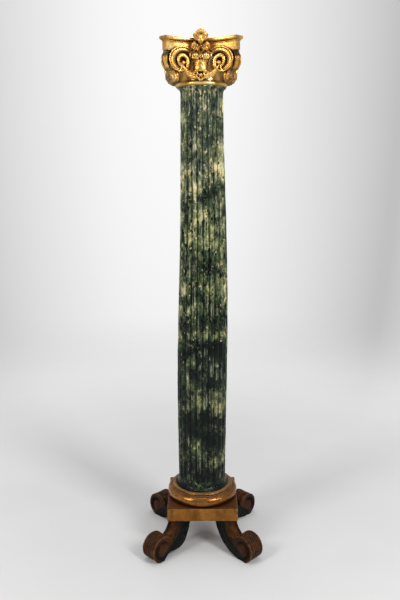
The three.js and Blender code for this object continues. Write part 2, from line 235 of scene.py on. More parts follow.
def carved(name, shapes, voxel, soften=2):
    """The shapes as one carved mesh without inner faces, with its edges a little softened."""
    obj = linked(name, mesh_of(name, shapes))
    remesh = obj.modifiers.new("carve", "REMESH")
    remesh.mode = "VOXEL"
    remesh.voxel_size = voxel
    relax = obj.modifiers.new("soften", "SMOOTH")
    relax.factor = 0.5
    relax.iterations = soften
    graph = bpy.context.evaluated_depsgraph_get()
    mesh = bpy.data.meshes.new_from_object(obj.evaluated_get(graph))
    bpy.data.objects.remove(obj)
    mesh.name = name
    return mesh


def uneven(points, size, seed):
    """A soft random number for each point, about -1 to 1, that changes over the given distance."""
    shift = Vector((seed * 17.3, seed * -9.1, seed * 5.7))
    return np.array([noise.noise(Vector(p) / size + shift) for p in points.tolist()])


def hand_worked(mesh, amounts, seed=1):
    """Moves the surface in and out a little, as a chisel leaves it. amounts has pairs of size and depth."""
    points, normals = points_of(mesh), normals_of(mesh)
    for k, (size, depth) in enumerate(amounts):
        points = points + normals * (uneven(points, size, seed + k) * depth)[:, None]
    set_points(mesh, points)


def attribute(mesh, name, values):
    """Keeps one number a point for the material to read."""
    layer = mesh.attributes.new(name, "FLOAT", "POINT")
    layer.data.foreach_set("value", np.asarray(values, np.float32))


def piece(name, mesh, material, node, sharp=0):
    """Makes a mesh in millimetres a piece that stands for a CAD node. sharp is an angle, or 0 for none."""
    set_points(mesh, points_of(mesh) * MM)
    mesh.materials.clear()
    mesh.materials.append(material)
    mesh.shade_smooth()
    if sharp:
        mesh.set_sharp_from_angle(angle=math.radians(sharp))
    obj = linked(name, mesh)
    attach(obj, "root")
    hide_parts(node)


# Materials

class Nodes:
    """A node tree, with short calls for the nodes that the finishes and the backdrop are made of."""

    def __init__(self, tree):
        self.tree = tree

    def put(self, value, socket):
        if isinstance(value, bpy.types.NodeSocket):
            self.tree.links.new(value, socket)
        else:
            socket.default_value = value

    def node(self, kind, inputs=(), **settings):
        made = self.tree.nodes.new("ShaderNode" + kind)
        for key, value in settings.items():
            setattr(made, key, value)
        for key, value in dict(inputs).items():
            self.put(value, made.inputs[key])
        return made

    def math(self, how, a, b):
        return self.node("Math", {0: a, 1: b}, operation=how).outputs[0]

    def plus(self, a, b):
        return self.math("ADD", a, b)

    def minus(self, a, b):
        return self.math("SUBTRACT", a, b)

    def times(self, a, b):
        return self.math("MULTIPLY", a, b)

    def larger(self, a, b):
        return self.math("MAXIMUM", a, b)

    def vector(self, how, inputs, output=0):
        return self.node("VectorMath", inputs, operation=how).outputs[output]

    def step(self, value, low, high, to_low=0, to_high=1):
        """A soft step from one value to another as the input goes from low to high."""
        inputs = {"Value": value, "From Min": low, "From Max": high, "To Min": to_low, "To Max": to_high}
        return self.node("MapRange", inputs, interpolation_type="SMOOTHSTEP").outputs["Result"]

    def blend(self, share, a, b):
        made = self.node("Mix", {0: share}, data_type="RGBA")
        for value, socket in ((a, made.inputs[6]), (b, made.inputs[7])):
            self.put(value if isinstance(value, bpy.types.NodeSocket) else (*value, 1), socket)
        return made.outputs[2]

    def ramp(self, value, stops):
        """Colours or grey levels at some places from 0 to 1."""
        made = self.node("ValToRGB", {"Fac": value})
        while len(made.color_ramp.elements) < len(stops):
            made.color_ramp.elements.new(0.5)
        for element, (at, colour) in zip(made.color_ramp.elements, stops):
            element.position = at
            element.color = (*colour, 1) if hasattr(colour, "__len__") else (colour, colour, colour, 1)
        return made.outputs["Color"]


class Finish(Nodes):
    """A material. Its patterns are drawn in the part's own place, in features a metre."""

    def __init__(self, name):
        self.material = bpy.data.materials.new(name)
        self.material.use_nodes = True
        super().__init__(self.material.node_tree)
        self.place = self.node("TexCoord").outputs["Object"]

    def stretched(self, x, y, z):
        """The place in the part, squeezed or stretched along each axis."""
        return self.node("Mapping", {"Vector": self.place, "Scale": (x, y, z)}).outputs["Vector"]

    def noise(self, scale, detail=4, rough=0.55, bend=0, at=None):
        place = at or self.place
        inputs = {"Vector": place, "Scale": scale, "Detail": detail, "Roughness": rough, "Distortion": bend}
        return self.node("TexNoise", inputs).outputs["Fac"]

    def cells(self, scale, at):
        return self.node("TexVoronoi", {"Vector": at, "Scale": scale}).outputs["Distance"]

    def warp(self, scale, reach):
        """A small random offset, to bend what is drawn with it."""
        colour = self.node("TexNoise", {"Vector": self.place, "Scale": scale, "Detail": 2}).outputs["Color"]
        return self.vector("SCALE", {0: colour, "Scale": reach})

    def upward(self, low, high, to_low=0, to_high=1):
        """A soft step on how far the surface faces up."""
        facing = self.node("SeparateXYZ", {"Vector": self.node("NewGeometry").outputs["Normal"]})
        return self.step(facing.outputs["Z"], low, high, to_low, to_high)

    def own(self, name):
        """A number that the mesh keeps at its points."""
        return self.node("Attribute", attribute_name=name).outputs["Fac"]

    def hollow(self, distance, low, high):
        """1 in recesses and 0 where the surface is open."""
        near = self.node("AmbientOcclusion", {"Distance": distance}, samples=8).outputs["AO"]
        return self.step(near, low, high, 1, 0)

    def bump(self, height, distance, strength=1, below=None):
        inputs = {"Height": height, "Distance": distance, "Strength": strength}
        if below is not None:
            inputs["Normal"] = below
        return self.node("Bump", inputs).outputs["Normal"]

    def finish(self, **inputs):
        for key, value in inputs.items():
            self.put(value, self.tree.nodes["Principled BSDF"].inputs[key.replace("_", " ")])
        return self.material


# Gilding: tones of the metal leaf, the ground where it is rubbed, the dark toning and painted shade in the
# recesses, how metallic and how rough it is, and the share of brown, painted as shade, where the surface
# isn't open
GILDINGS = {
    "burnished_gold": {
        "tones": [(0.34, (0.52, 0.235, 0.045)), (0.5, (0.86, 0.485, 0.12)), (0.66, (1, 0.74, 0.31))],
        "ground": (0.22, 0.065, 0.022), "shade_and_toning": (0.034, 0.011, 0.006),
        "metal": 0.94, "gloss": 0.29, "brown": 0.6},
    "bell_gold": {
        "tones": [(0.30, (0.62, 0.30, 0.06)), (0.46, (0.95, 0.58, 0.16)), (0.62, (1, 0.80, 0.38))],
        "ground": (0.30, 0.10, 0.03), "shade_and_toning": (0.034, 0.011, 0.006),
        "metal": 0.92, "gloss": 0.36, "brown": 0.15},
    "bronze_gold": {
        "tones": [(0.32, (0.14, 0.045, 0.012)), (0.5, (0.30, 0.125, 0.028)), (0.68, (0.50, 0.25, 0.065))],
        "ground": (0.075, 0.020, 0.010), "shade_and_toning": (0.03, 0.008, 0.005),
        "metal": 0.85, "gloss": 0.25, "brown": 0.6},
}
DUST = (0.24, 0.15, 0.065)
DUSTY = (0.95, 0.99)


def gilding(name):
    """Metal leaf over a red-brown ground: rubbed spots, dark toning and painted shade in the recesses, and
    dust on its top.
    """
    f = Finish(name)
    look = GILDINGS[name]
    fine = f.noise(160, 4, 0.6)
    clouds = f.plus(f.times(f.noise(14, 5, 0.6, 0.3), 0.7), f.times(fine, 0.3))
    rubbed = f.times(f.step(f.noise(55, 6, 0.7, 0.5), 0.57, 0.68), f.step(fine, 0.35, 0.6))
    colour = f.blend(f.times(rubbed, 0.7), f.ramp(clouds, look["tones"]), look["ground"])
    brown = tuple(0.5 * (a + b) for a, b in zip(look["ground"], look["tones"][0][1]))
    # Painted shade: brown where the occlusion finds that the surface isn't open
    colour = f.blend(f.times(f.hollow(0.030, 0.40, 0.98), look["brown"]), colour, brown)
    # Painted shade: the deepest recesses go to the dark toning colour, with the marks the mesh keeps for aged
    # tone, painted shadow and painted shade
    deep = f.times(f.hollow(0.014, 0.50, 0.90), f.step(f.noise(26, 4), 0.2, 0.7, 0.75, 1))
    marked_toning_and_shade = f.times(f.own("glaze"), f.step(f.noise(45, 5), 0.25, 0.65, 0.5, 1))
    dark = f.larger(deep, marked_toning_and_shade)
    colour = f.blend(dark, colour, look["shade_and_toning"])
    dust = f.times(f.upward(*DUSTY), f.step(f.noise(25, 5, 0.6), 0.3, 0.6, 0.4, 0.7))
    colour = f.blend(dust, colour, DUST)
    metal = look["metal"]
    metallic = f.times(f.step(dark, 0, 0.8, metal, metal * 0.25), f.upward(*DUSTY, 1, 0.45))
    gloss = f.step(f.noise(48, 4), 0.3, 0.7, look["gloss"] - 0.07, look["gloss"] + 0.1)
    rough = f.plus(f.plus(gloss, f.times(dark, 0.2)), f.upward(*DUSTY, 0, 0.35))
    relief = f.bump(f.noise(420, 3, 0.6), 0.0006, 0.3)
    relief = f.bump(f.noise(90, 3, 0.5), 0.0015, 0.3, relief)
    return f.finish(
        Base_Color=colour, Metallic=metallic, Roughness=rough, Normal=relief, Specular_IOR_Level=0.2)


# How light the marble paint is at some heights in metres from the floor, from 0 for the darkest
MARBLE_BANDS = [
    (0.24, 0.30), (0.31, 0.30), (0.36, 0.50), (0.40, 0.50), (0.45, 0.26), (0.51, 0.26), (0.56, 0.60),
    (0.61, 0.42), (0.71, 0.30), (0.79, 0.28), (0.85, 0.58), (0.90, 0.34), (0.96, 0.56), (1.04, 0.64),
    (1.13, 0.45), (1.22, 0.58), (1.31, 0.54), (1.44, 0.66), (1.57, 0.53), (1.65, 0.66), (1.74, 0.52),
]
MARBLE_TONES = [
    (0.30, (0.003, 0.0055, 0.0045)), (0.42, (0.012, 0.021, 0.013)), (0.51, (0.040, 0.064, 0.028)),
    (0.60, (0.135, 0.160, 0.060)), (0.68, (0.42, 0.39, 0.165)), (0.78, (0.82, 0.70, 0.40)),
]
BLUE_GREEN = (0.018, 0.038, 0.030)
CREAM_FLECKS = (0.72, 0.64, 0.44)
ARRIS_RUB_AND_HIGHLIGHT = (0.50, 0.52, 0.37)
LOW_SHADE = (0.004, 0.008, 0.005)
FLUTE_BLACK = (0.0015, 0.0025, 0.002)
SPOT_BLACK = (0.002, 0.003, 0.0026)
BLOT_BLACK = (0.003, 0.0045, 0.0038)
SLANT = math.radians(-32)
UPRIGHT = (1, 1, 0.45)


def marble_tone(f, height, small):
    """How light the marbling is: slanted clouds and small marks, over bands by height."""
    low, high = MARBLE_BANDS[0][0], MARBLE_BANDS[-1][0]
    share = f.times(f.plus(height, -low), 1 / (high - low))
    band = f.ramp(share, [((z - low) / (high - low), tone) for z, tone in MARBLE_BANDS])
    slanted = f.node("Mapping", {"Vector": f.place, "Rotation": (0, SLANT, 0), "Scale": (1, 1, 0.8)})
    clouds = f.noise(15, 8, 0.70, 0.35, slanted.outputs["Vector"])
    marks = f.plus(f.times(clouds, 1.3), f.times(small, 0.45))
    return clouds, f.plus(f.plus(marks, f.times(f.plus(band, -0.5), 0.60)), -0.375)


def marble_paint():
    """Green marbling: cloudy bands of green and cream, black spots, black glaze and painted shade deep in the
    flutes, and rubbed light edges that are also a painted highlight.
    """
    f = Finish("marble_paint")
    upright = f.stretched(*UPRIGHT)
    drift = f.times(f.plus(f.noise(5, 3, 0.5, 0.4, upright), -0.5), 0.16)
    height = f.plus(f.node("SeparateXYZ", {"Vector": f.place}).outputs["Z"], drift)
    small = f.noise(75, 6, 0.72, 0.2, upright)
    clouds, tone = marble_tone(f, height, small)
    cold = f.step(f.noise(7, 3, 0.5, 0.5, upright), 0.46, 0.66)
    colour = f.blend(f.times(cold, 0.35), f.ramp(tone, MARBLE_TONES), BLUE_GREEN)
    bend = f.vector("ADD", {0: f.stretched(1, 1, 0.55), 1: f.warp(40, 0.007)})
    patchy = f.step(f.noise(22, 3, 0.5), 0.36, 0.60, 0.12, 0.47)
    spots = f.step(f.minus(f.cells(80, bend), patchy), -0.05, 0.02, 1, 0)
    colour = f.blend(f.times(spots, 0.97), colour, SPOT_BLACK)
    blots = f.step(f.plus(f.noise(95, 4, 0.6, 0, upright), f.times(clouds, -0.22)), 0.50, 0.54)
    colour = f.blend(f.times(blots, 0.93), colour, BLOT_BLACK)
    specks = f.noise(120, 5, 0.7, 0, f.stretched(1, 1, 0.55))
    flecks = f.step(f.plus(specks, f.times(tone, 0.30)), 0.74, 0.82)
    colour = f.blend(f.times(flecks, 0.85), colour, CREAM_FLECKS)
    colour = f.blend(f.step(height, 0.45, 1.10, 0.34, 0), colour, LOW_SHADE)
    # Black glaze and painted shade: the deepest part of each flute goes black
    flute = f.times(f.step(f.own("flute"), 0.74, 0.86), f.step(small, 0.2, 0.6, 0.85, 1))
    colour = f.blend(f.times(flute, 0.95), colour, FLUTE_BLACK)
    # Rubbed wear and painted highlight: broken streaks along the arrises are painted lighter
    streaks = f.plus(f.noise(30, 6, 0.72, 0, f.stretched(1, 1, 0.4)), f.times(tone, 0.35))
    rubbed_and_lit = f.times(f.own("arris"), f.step(streaks, 0.66, 0.80))
    colour = f.blend(f.times(rubbed_and_lit, 0.6), colour, ARRIS_RUB_AND_HIGHLIGHT)
    rough = f.step(f.noise(30, 4), 0.3, 0.7, 0.20, 0.36)
    relief = f.bump(f.noise(240, 4, 0.6), 0.0008, 0.3)
    relief = f.bump(f.noise(38, 3, 0.5, 0, f.stretched(1, 1, 0.3)), 0.002, 0.3, relief)
    return f.finish(Base_Color=colour, Roughness=rough, Normal=relief, Specular_IOR_Level=0.14)


WOODS = {
    "walnut_glaze": {
        "light": (0.135, 0.046, 0.008), "mid": (0.064, 0.020, 0.0035), "deep": (0.020, 0.007, 0.002),
        "rubbed": (0.30, 0.165, 0.078), "grain": 34},
    "golden_brown_glaze": {
        "light": (0.27, 0.118, 0.021), "mid": (0.20, 0.078, 0.012), "deep": (0.125, 0.044, 0.006),
        "rubbed": (0.34, 0.19, 0.06), "grain": 26},
}
CUT_AND_RECESS_SHADE = (0.0035, 0.0018, 0.0012)
PLINTH_TOP_SHADE = (0.040, 0.0135, 0.0055)
PAINT_BLACK = (0.0055, 0.0065, 0.0045)
PAINT_DEEP = (0.0015, 0.002, 0.0015)
PAINT_SCRATCH = (0.055, 0.050, 0.036)


def wood(name):
    """Glazed wood: brown glaze over grain, dark in the cuts and recesses as painted shade, lighter rubbed
    edges that are also a painted highlight, and black-green paint where the mesh says so.
    """
    f = Finish(name)
    look = WOODS[name]
    grain = f.noise(look["grain"], 7, 0.65, 0.9, f.stretched(1, 1, 0.22))
    clouds = f.noise(20, 5, 0.62, 0.5)
    tones = [(0.38, look["deep"]), (0.5, look["mid"]), (0.62, look["light"])]
    colour = f.ramp(f.plus(f.times(grain, 0.45), f.times(clouds, 0.55)), tones)
    # Rubbed wear and painted highlight: the marked edges and bead tops are painted lighter
    rubbed = f.times(f.own("edge"), f.step(f.noise(75, 5, 0.7), 0.42, 0.62))
    colour = f.blend(f.times(rubbed, 0.7), colour, look["rubbed"])
    colour = f.blend(f.times(f.own("shade"), 0.8), colour, tuple(0.22 * c for c in look["mid"]))
    # Painted shade: the recesses that the occlusion finds, and the carved cuts, are painted dark brown
    dark = f.larger(f.hollow(0.012, 0.45, 0.92), f.own("cut"))
    colour = f.blend(f.times(dark, 0.93), colour, CUT_AND_RECESS_SHADE)
    # Painted shade: the plinth's top, where it faces up, is painted darker brown
    colour = f.blend(f.times(f.times(f.upward(0.6, 0.95), f.own("top")), 0.85), colour, PLINTH_TOP_SHADE)
    ragged = f.times(f.plus(f.noise(60, 4), -0.5), 0.4)
    painted = f.step(f.plus(f.own("side"), ragged), 0.42, 0.58)
    scratch = f.times(f.step(f.noise(120, 5, 0.75), 0.60, 0.70), f.step(f.noise(30, 3), 0.45, 0.6))
    black = f.blend(f.times(scratch, 0.6), PAINT_BLACK, PAINT_SCRATCH)
    black = f.blend(f.step(f.noise(38, 4), 0.42, 0.6), black, PAINT_DEEP)
    colour = f.blend(painted, colour, black)
    rough = f.plus(f.step(clouds, 0.3, 0.7, 0.27, 0.42), f.times(painted, 0.08))
    relief = f.bump(f.noise(260, 4, 0.6, 0, f.stretched(1, 1, 0.4)), 0.0008, 0.35)
    relief = f.bump(f.noise(85, 5, 0.65), 0.003, f.step(painted, 0, 1, 0.3, 0.7), relief)
    return f.finish(Base_Color=colour, Roughness=rough, Normal=relief, Specular_IOR_Level=0.10)


# Shaft

FLUTES = 24
FLUTE = {"low": 262, "high": 1733, "tip": 9, "share": 0.62, "depth": 0.42, "rounding": 0.05}
FLUTE_POINTS = 12
ARRIS_WIDTH = 0.055
ENTASIS = [(262, 92.3), (480, 94.4), (700, 96.6), (960, 93.7), (1230, 87.2), (1500, 80.6), (1744, 76.6)]
FOOT_FLARE = {"radius": 104.5, "rim": 6, "height": 22}
TOP_FLARE = {"radius": 87, "rim": 3, "height": 18}
BOW = {"reach": 5.8, "low": 500, "high": 1800, "lean": 1.5}


def flare(gap, shape, plain):
    """How far the shaft widens at a gap from its end."""
    left = np.clip(1 - (gap - shape["rim"]) / shape["height"], 0, 1)
    return (shape["radius"] - plain) * (1 - np.sqrt(1 - left**2))


def shaft_radius(z):
    heights, radii = np.array(ENTASIS, float).T
    curve = along(np.column_stack([heights, radii]), np.linspace(0, len(heights) - 1, 200))
    body = np.interp(z, curve[:, 0], curve[:, 1])
    return body + flare(z - SHAFT_FOOT, FOOT_FLARE, radii[0]) + flare(SHAFT_TOP - z, TOP_FLARE, radii[-1])


def bow(z):
    """How far the shaft's middle line stands to the right."""
    place = np.clip((z - BOW["low"]) / (BOW["high"] - BOW["low"]), 0, 1)
    lean = BOW["lean"] * ((z - SHAFT_FOOT) / (SHAFT_TOP - SHAFT_FOOT) - 0.5) * 2
    return lean + BOW["reach"] * np.sin(math.pi * place) ** 2


def shaft_heights():
    """Heights of the shaft's rings, closer together where it flares and where the flutes end."""
    low, high, tip = FLUTE["low"], FLUTE["high"], FLUTE["tip"]
    return np.concatenate([
        np.linspace(SHAFT_FOOT + GAP, low - 1, 16),
        np.linspace(low, low + tip, 9),
        np.linspace(low + tip + 3, high - tip - 3, 205),
        np.linspace(high - tip, high, 9),
        np.linspace(high + 1, SHAFT_TOP - GAP, 8),
    ])


def shaft_mesh():
    """The fluted shaft. Each flute is a round hollow, and the narrow flats between them have rubbed edges,
    marked for wear and for a painted highlight.
    """
    z = shaft_heights()[:, None]
    turn = np.arange(FLUTES * FLUTE_POINTS) / FLUTE_POINTS
    from_flute = np.abs(turn - np.round(turn))
    inside = np.clip(np.minimum(z - FLUTE["low"], FLUTE["high"] - z) / FLUTE["tip"], 0, 1)
    size = np.sqrt(1 - (1 - inside) ** 2)
    half = np.maximum(FLUTE["share"] * (0.25 + 0.75 * size), 1e-3) / 2
    u = np.clip(from_flute / half, 0, 1)
    hollow = np.sqrt(1 - u**2) * (1 - 0.12 * u)
    flat = np.clip((from_flute - half) / (0.5 - half), 0, 1)
    pitch = 2 * math.pi * shaft_radius(z) / FLUTES
    deep = pitch * FLUTE["share"] * FLUTE["depth"] * size
    rounding = pitch * FLUTE["rounding"] * (1 - flat) ** 2 * (u >= 1) * size
    radius = shaft_radius(z) - deep * hollow - rounding
    rings = around(radius, turn * 2 * math.pi / FLUTES, z)
    rings[..., 0] += bow(z)
    mesh = mesh_of("shaft", [loft(rings)])
    attribute(mesh, "flute", (size * np.clip(1.25 * hollow - 0.35, 0, 1)).ravel())
    attribute(mesh, "arris", (np.exp(-(((from_flute - half) / ARRIS_WIDTH) ** 2)) * size).ravel())
    hand_worked(mesh, [(60, 0.9), (14, 0.35)], 3)
    return mesh


# Plinth and base ring

PLINTH_SIDE = 271
PLINTH_EDGE = 2.5


def rounded_box(half, edge, gap):
    """A box round the origin, with rounded edges and an even net of faces."""
    bm = bmesh.new()
    lines = []
    for h in half:
        count = max(3, int(2 * (h - edge) / gap))
        inner = np.linspace(-h + edge, h - edge, count)
        lip = h - edge * np.array([0.0, 0.12, 0.4])
        lines.append(np.concatenate([-lip, inner, lip[::-1]]))
    for axis in range(3):
        u, v = (axis + 1) % 3, (axis + 2) % 3
        for end in (-1, 1):
            grid = {}
            for i, a in enumerate(lines[u]):
                for j, b in enumerate(lines[v]):
                    p = np.zeros(3)
                    p[axis], p[u], p[v] = end * half[axis], a, b
                    grid[i, j] = bm.verts.new(p)
            for i in range(len(lines[u]) - 1):
                for j in range(len(lines[v]) - 1):
                    bm.faces.new([grid[i, j], grid[i + 1, j], grid[i + 1, j + 1], grid[i, j + 1]])
    bmesh.ops.remove_doubles(bm, verts=bm.verts, dist=1e-4)
    for v in bm.verts:
        p = np.array(v.co)
        core = np.clip(p, edge - np.array(half), np.array(half) - edge)
        v.co = core + edge * unit(p - core)
    return closed(bm, "box")


def plinth_mesh():
    """The square board, with small chips along its edges."""
    half = (PLINTH_SIDE / 2, PLINTH_SIDE / 2, (PLINTH_TOP - PLINTH_LOW) / 2)
    mesh = rounded_box(half, PLINTH_EDGE, gap=6.0)
    box = points_of(mesh)
    points = box + [0, 0, PLINTH_LOW + half[2]]
    reach = np.sort(np.abs(box) / half, 1)
    edge = smoothstep(0.90, 1.0, reach[:, 1])
    chips = edge * np.clip(uneven(points, 16, 5) - 0.25, 0, 1) * 2.2
    set_points(mesh, points - normals_of(mesh) * chips[:, None])
    attribute(mesh, "edge", edge)
    # The top is marked for the painted shade that the wood material puts on it
    attribute(mesh, "top", np.ones(len(points)))
    hand_worked(mesh, [(50, 0.35), (12, 0.2)], 8)
    return mesh


TORUS = {"radius": 137, "tube": 21.5}
FILLET = {"radius": 118, "roll": 3.6, "neck": 113.5}


def base_ring_mesh():
    """The torus with the narrow fillet that the shaft stands in."""
    tube_radius, roll = TORUS["tube"], FILLET["roll"]
    torus_top = RING_LOW + 2 * tube_radius
    outline = [[8, RING_LOW], [60, RING_LOW]]
    outline += arc((TORUS["radius"] - tube_radius, RING_LOW + tube_radius), tube_radius, -90, 84, 40)
    outline += [[FILLET["neck"] + 1, torus_top + 0.2], [FILLET["neck"], torus_top + 1.4]]
    outline += arc((FILLET["radius"] - roll, SHAFT_FOOT - roll), roll, -80, 90, 12)
    outline += [[60, SHAFT_FOOT], [8, SHAFT_FOOT]]
    mesh = mesh_of("base_ring", [turned(outline, 192)])
    # Painted shade in the groove under the fillet's roll
    from_neck = np.abs(points_of(mesh)[:, 2] - (SHAFT_FOOT - 2 * roll - 0.6))
    attribute(mesh, "glaze", smoothstep(5, 2, from_neck) * 0.9)
    hand_worked(mesh, [(40, 0.5), (10, 0.25)], 11)
    return mesh


# Feet: each is drawn in the upright plane through the column's axis and a plinth corner, where y is across it

FOOT_HALF = 33
SCROLL = {"centre": 240, "height": 46.6, "radius": 47.5, "crevice": 165}
CUT_FOOT = "foot_left_front"
FOOT_INNER = [[(96, PLINTH_LOW - GAP), (112, 70), (145, 12), (230, 0)]]
CUT_FOOT_INNER = [
    [(96, PLINTH_LOW - GAP), (108, 74), (126, 27), (156, 23)], [(156, 23), (176, 20), (190, 24), (204, 23)],
    [(204, 23), (222, 21), (228, 6), (238, 0)],
]
FOOT_OUTER = [(172, 72), (153, 100), (151, PLINTH_LOW - GAP)]
FOOT_BROWN_EDGE = [
    (153, 138), (154, 119), (167, 84), (193, 62), (213, 46), (231, 33), (243, 24), (254, 10), (262, -8),
]
PANEL_HALF = 21
BEAD_COLUMNS = 4
BEAD_LENGTH = 8.0

# The groove that winds in on a scroll's end, by steps of an angle from the crevice: its reach from the
# middle, and then its depth and half width as pairs of a step and a size
FOOT_SPIRAL = [49, 37, 33, 29, 20, 12]
FOOT_SPIRAL_STEP = 98
GROOVE_DEPTH = [(0, 0.5), (0.8, 1.0), (1.4, 6.0), (1.9, 9.0), (2.8, 8.5), (3.2, 5.0), (3.55, 0.0)]
GROOVE_WIDTH = [(0, 2.0), (1, 4.0), (2, 7.0), (3, 5.2), (3.5, 2.8)]
EYE = {"reach": 5, "rise": 3, "radius": 15, "height": 2.0}


def bezier(a, b, c, d, count):
    t = np.linspace(0, 1, count)[:, None]
    a, b, c, d = (np.array(p, float) for p in (a, b, c, d))
    return a * (1 - t) ** 3 + 3 * b * t * (1 - t) ** 2 + 3 * c * t**2 * (1 - t) + d * t**3


def foot_outline(inner):
    """The foot's outline as reach and height, and where its barrel and its panel start on it."""
    centre = (SCROLL["centre"], SCROLL["height"])
    under = np.vstack([bezier(*curve, 60)[:-1] for curve in inner] + [inner[-1][-1:]])
    low = -math.degrees(math.asin(SCROLL["height"] / SCROLL["radius"]))
    roll = np.array(arc(centre, SCROLL["radius"], low, SCROLL["crevice"], 140))
    panel = bezier(roll[-1], *FOOT_OUTER, 60)
    return np.vstack([under[:-1], roll[:-1], panel]), len(under) - 1, len(under) + len(roll) - 2


def nearest(points, line):
    """For each 2-D point, the nearest point of a line: its index and the distance to it."""
    gap = np.linalg.norm(points[:, None] - line[None], axis=2)
    index = gap.argmin(1)
    return index, gap[np.arange(len(points)), index]


def bead_pattern(across, run):
    """Rows of beads round the barrel: where they lie, how high they are, and the lines beside them."""
    column = (across + PANEL_HALF) / (2 * PANEL_HALF) * BEAD_COLUMNS
    inside = smoothstep(0, 0.12, column) * smoothstep(0, 0.12, BEAD_COLUMNS - column)
    row = run / BEAD_LENGTH + 0.5 * (np.floor(column) % 2)
    dome = np.abs(np.sin(math.pi * column)) ** 0.6 * np.abs(np.sin(math.pi * row)) ** 0.6
    return inside, dome, np.exp(-(((np.abs(across) - PANEL_HALF - 2.2) / 1.3) ** 2))


def spiral_groove(flat):
    """The groove of a scroll's end as a depth, less its raised eye, and as a share for its colour."""
    x, z = (flat - [SCROLL["centre"], SCROLL["height"]]).T
    turned_by = (np.degrees(np.arctan2(z, x)) - SCROLL["crevice"]) % 360
    deepest = np.zeros(len(flat))
    share = np.zeros(len(flat))
    for lap in (0, 360):
        place = (turned_by + lap) / FOOT_SPIRAL_STEP
        gap = np.hypot(x, z) - along(FOOT_SPIRAL, place)[:, 0]
        depth = between(GROOVE_DEPTH, place)
        width = between(GROOVE_WIDTH, place) * np.where(gap > 0, 1, 1.15)
        cut = np.exp(-np.abs(gap / width) ** 3) * (place < GROOVE_DEPTH[-1][0])
        deepest = np.maximum(deepest, depth * cut)
        share = np.maximum(share, np.minimum(depth / 8, 1) * cut)
    from_eye = np.hypot(x - EYE["reach"], z - EYE["rise"])
    return deepest - EYE["height"] * np.exp(-((from_eye / EYE["radius"]) ** 4)), share


def foot_mesh(inner, seed):
    """A foot. Its sunk panel, beaded barrel, grooved ends and rough sides are cut into the plain outline."""
    outline, barrel_start, panel_start = foot_outline(inner)
    ring = np.array([[r, 0, z] for r, z in outline])
    mesh = carved("foot", [loft(np.stack([ring + [0, y, 0] for y in (-FOOT_HALF, FOOT_HALF)]))], 1.6, 3)
    points, normals = points_of(mesh), normals_of(mesh)
    flat, across = points[:, [0, 2]], points[:, 1]
    index, _ = nearest(flat, outline)
    steps = np.linalg.norm(np.diff(outline, axis=0), axis=1)
    run = np.concatenate([[0], np.cumsum(steps)])[index]
    edge_gap = FOOT_HALF - np.abs(across)
    on_end = smoothstep(0.55, 0.85, np.abs(normals[:, 1]))
    under = (1 - on_end) * (index < barrel_start)
    on_barrel = (index >= barrel_start) * (index < panel_start) * (1 - on_end)
    on_panel = (index >= panel_start) * (1 - on_end)

    sunk = smoothstep(8, 13, edge_gap)
    seam = np.exp(-(((edge_gap - 10.5) / 1.5) ** 2))
    inside, dome, line = bead_pattern(across, run)
    groove, groove_share = spiral_groove(flat)
    edge_line = smooth(FOOT_BROWN_EDGE, 80)
    near, gap = nearest(flat, edge_line)
    black = (flat - edge_line[near]) @ np.array([-1.0, -0.55]) > 0
    side = on_end * np.where(black, smoothstep(-3, 3, gap), smoothstep(3, -3, gap))
    inward = on_panel * (3.6 * sunk + 1.6 * seam - (1 - sunk))
    inward += on_barrel * (inside * 4.0 * (1 - dome) + 2.4 * line - 1.8)
    inward += on_end * (groove + np.where(black, 1.5 * smoothstep(0, 4, gap), 0))
    inward += (side + 0.35 * under) * (uneven(points, 7, seed) * 1.1 + uneven(points, 18, seed + 1)) - 0.8
    set_points(mesh, points - normals * inward[:, None])

    rim = np.exp(-((edge_gap / 3.5) ** 2)) * (on_barrel + on_panel > 0.3)
    tops = on_barrel * inside * smoothstep(0.75, 0.95, dome)
    cuts = on_barrel * (inside * (1 - dome) + line) + on_end * groove_share + 0.7 * on_panel * seam
    # The undersides get the black-green paint too, partly as real paint and partly as painted shade under the
    # foot
    attribute(mesh, "side", np.clip(side + under * 0.9, 0, 1))
    # The rims and bead tops are marked for lighter rubbed wear and a painted highlight
    attribute(mesh, "edge", np.clip(0.8 * rim + tops, 0, 1))
    attribute(mesh, "cut", np.clip(cuts, 0, 1))
    attribute(mesh, "shade", np.clip(on_panel * (1 - sunk) + on_barrel * 0.25 + on_end * 0.75, 0, 1))
    hand_worked(mesh, [(24, 0.7), (9, 0.4), (4.5, 0.5)], seed + 9)
    points = points_of(mesh)
    points[:, 2] = np.clip(points[:, 2], 0, PLINTH_LOW - GAP)
    set_points(mesh, points)
    return mesh


# Capital, front side: s runs along the face, above is the height over the volutes' face

FACE_MIDDLE = 92
FACE_RISE = 0.00388
VOLUTE = {"s": 61, "z": 1816, "start": math.radians(119)}
VOLUTE_STEP = 45
VOLUTE_RADII = [53, 51.5, 49, 43.5, 36, 25.5, 20.5, 20, 24, 26]

# The thick inner roll: its middle line from the volute's own middle, and its radius. Then its rise, by steps
ROLL = [
    (-5.5, -25, 4.4), (-11.5, -17.5, 6.2), (-15.5, -6, 6.9), (-15.5, 5, 7.0), (-11.5, 14.5, 6.8),
    (-3.5, 20.5, 6.5), (5, 21, 6.5), (12.5, 16.5, 6.4), (16.2, 7, 6.0), (14.5, -4, 5.6), (9, -11, 5.0),
    (2, -13, 4.4),
]
ROLL_STEPS = 110
ROLL_RISE = [(0, -5.0), (12, -2.5), (30, -0.5), (60, -1.0), (95, -5.0), (109, -7.0)]
STEM = [(15, -33, 2.6), (10, -26, 2.8), (5, -18, 3.0), (2, -10, 3.0)]
SCROLL_FLOOR = 17.0


